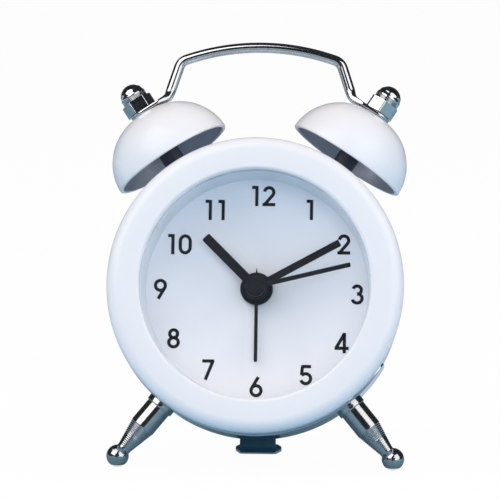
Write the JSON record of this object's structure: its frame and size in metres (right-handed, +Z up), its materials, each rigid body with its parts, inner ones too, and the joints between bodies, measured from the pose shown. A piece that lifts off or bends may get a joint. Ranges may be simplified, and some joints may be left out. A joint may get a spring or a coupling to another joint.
{
  "type": "twin bell alarm clock",
  "caption": "Small leaning desk clock: round white drum with a deep dial, twin bells with cap nuts and a rod handle on top, turned ball-foot legs and a rear foot.",
  "frame": {"origin": "centre of the bounding box in X and Y, on the ground under the ball feet and the rear foot's sole", "axes": "+X to the viewer's right, +Y backwards from the dial, +Z up; the dial leans back about X"},
  "size_m": [0.0568, 0.039, 0.0797],
  "materials": {
    "white_enamel": "gloss white enamel",
    "white_plastic": "white, smooth",
    "dial_white": "matte printed white",
    "clear_lens": "clear",
    "black_paint": "matte black",
    "black_plastic": "matte black",
    "black_sheet": "matte black paint",
    "grey_plastic": "moulded grey",
    "chrome": "bright plating",
    "nickel": "satin nickel plate",
    "brass": "plain",
    "copper": "enamelled copper wire",
    "board_green": "green lacquer"
  },
  "bodies": {
    "case": {"bezel": "white_enamel", "lens": "clear_lens", "dial_ring": "white_plastic", "dial": "dial_white", "case_drum": "white_enamel", "movement_case": "black_plastic", "middle_plate": "grey_plastic", "rear_plate": "grey_plastic", "movement_screws": "nickel", "stator": "nickel", "coil": "copper", "circuit_board": "board_green", "crystal": "nickel", "buzzer": "black_plastic", "battery_cell": "nickel", "negative_contact": "brass", "positive_contact": "brass", "rear_cover": "black_plastic", "cover_screws": "nickel", "left_bell": "white_enamel", "right_bell": "white_enamel", "left_bell_post": "black_plastic", "right_bell_post": "black_plastic", "bell_studs": "nickel", "cap_nuts": "chrome", "inner_nuts": "nickel", "handle": "chrome", "leg_strap": "chrome", "left_leg": "nickel", "right_leg": "nickel", "rear_foot": "black_sheet", "foot_screws": "nickel"},
    "seconds": {"second_hand": "black_paint", "seconds_wheel": "brass"},
    "intermediate": {"intermediate_wheel": "brass"},
    "motor_rotor": {"rotor": "nickel"},
    "third": {"third_wheel": "brass"},
    "centre": {"centre_wheel": "brass"},
    "minutes": {"minute_hand": "black_paint", "minute_cannon": "brass"},
    "motion": {"motion_wheel": "grey_plastic"},
    "hours": {"hour_hand": "black_paint", "hour_wheel": "grey_plastic"},
    "time_setter": {"time_set_shaft": "grey_plastic", "time_knob": "black_plastic"},
    "alarm": {"alarm_hand": "black_paint", "alarm_wheel": "grey_plastic"},
    "alarm_setter": {"alarm_set_shaft": "grey_plastic", "alarm_knob": "black_plastic"},
    "switch": {"alarm_switch": "white_plastic"},
    "cap": {"battery_cap": "black_plastic"}
  },
  "joints": [
    {"name": "seconds_spin", "type": "hinge", "parent": "case", "child": "seconds", "pos_m": [0, 0.00461, 0.03183], "axis": [0, 0.9659, -0.2588], "continuous": true},
    {"name": "intermediate_spin", "type": "hinge", "parent": "case", "child": "intermediate", "pos_m": [-0.00424, 0.00351, 0.02773], "axis": [0, 0.9659, -0.2588], "continuous": true},
    {"name": "rotor_spin", "type": "hinge", "parent": "case", "child": "motor_rotor", "pos_m": [-0.00616, 0.00215, 0.02264], "axis": [0, 0.9659, -0.2588], "continuous": true},
    {"name": "third_spin", "type": "hinge", "parent": "case", "child": "third", "pos_m": [0.00509, 0.00329, 0.02691], "axis": [0, 0.9659, -0.2588], "continuous": true},
    {"name": "centre_spin", "type": "hinge", "parent": "case", "child": "centre", "pos_m": [0, 0.00461, 0.03183], "axis": [0, 0.9659, -0.2588], "continuous": true},
    {"name": "minutes_spin", "type": "hinge", "parent": "case", "child": "minutes", "pos_m": [0, 0.00461, 0.03183], "axis": [0, 0.9659, -0.2588], "continuous": true},
    {"name": "motion_spin", "type": "hinge", "parent": "case", "child": "motion", "pos_m": [-0.006, 0.00461, 0.03183], "axis": [0, 0.9659, -0.2588], "continuous": true},
    {"name": "hours_spin", "type": "hinge", "parent": "case", "child": "hours", "pos_m": [0, 0.00461, 0.03183], "axis": [0, 0.9659, -0.2588], "continuous": true},
    {"name": "time_set_spin", "type": "hinge", "parent": "case", "child": "time_setter", "pos_m": [-0.012, 0.00461, 0.03183], "axis": [0, 0.9659, -0.2588], "continuous": true},
    {"name": "alarm_spin", "type": "hinge", "parent": "case", "child": "alarm", "pos_m": [0, 0.00461, 0.03183], "axis": [0, 0.9659, -0.2588], "continuous": true},
    {"name": "alarm_set_spin", "type": "hinge", "parent": "case", "child": "alarm_setter", "pos_m": [0.012, 0.00461, 0.03183], "axis": [0, 0.9659, -0.2588], "continuous": true},
    {"name": "switch_slide", "type": "slide", "parent": "case", "child": "switch", "axis": [1, 0, 0], "range_m": [0, 0.003]},
    {"name": "cap_turn", "type": "hinge", "parent": "case", "child": "cap", "pos_m": [0, 0.01484, 0.04296], "axis": [0, 0.9659, -0.2588], "range_deg": [0, 60]}
  ],
  "couplings": [
    {"joint": "intermediate_spin", "follows": "seconds_spin", "ratio": -5},
    {"joint": "rotor_spin", "follows": "seconds_spin", "ratio": 30},
    {"joint": "third_spin", "follows": "seconds_spin", "ratio": -0.13333},
    {"joint": "centre_spin", "follows": "seconds_spin", "ratio": 0.016667},
    {"joint": "motion_spin", "follows": "minutes_spin", "ratio": -0.33333},
    {"joint": "hours_spin", "follows": "minutes_spin", "ratio": 0.083333},
    {"joint": "time_set_spin", "follows": "minutes_spin", "ratio": 1},
    {"joint": "alarm_set_spin", "follows": "alarm_spin", "ratio": -3}
  ]
}
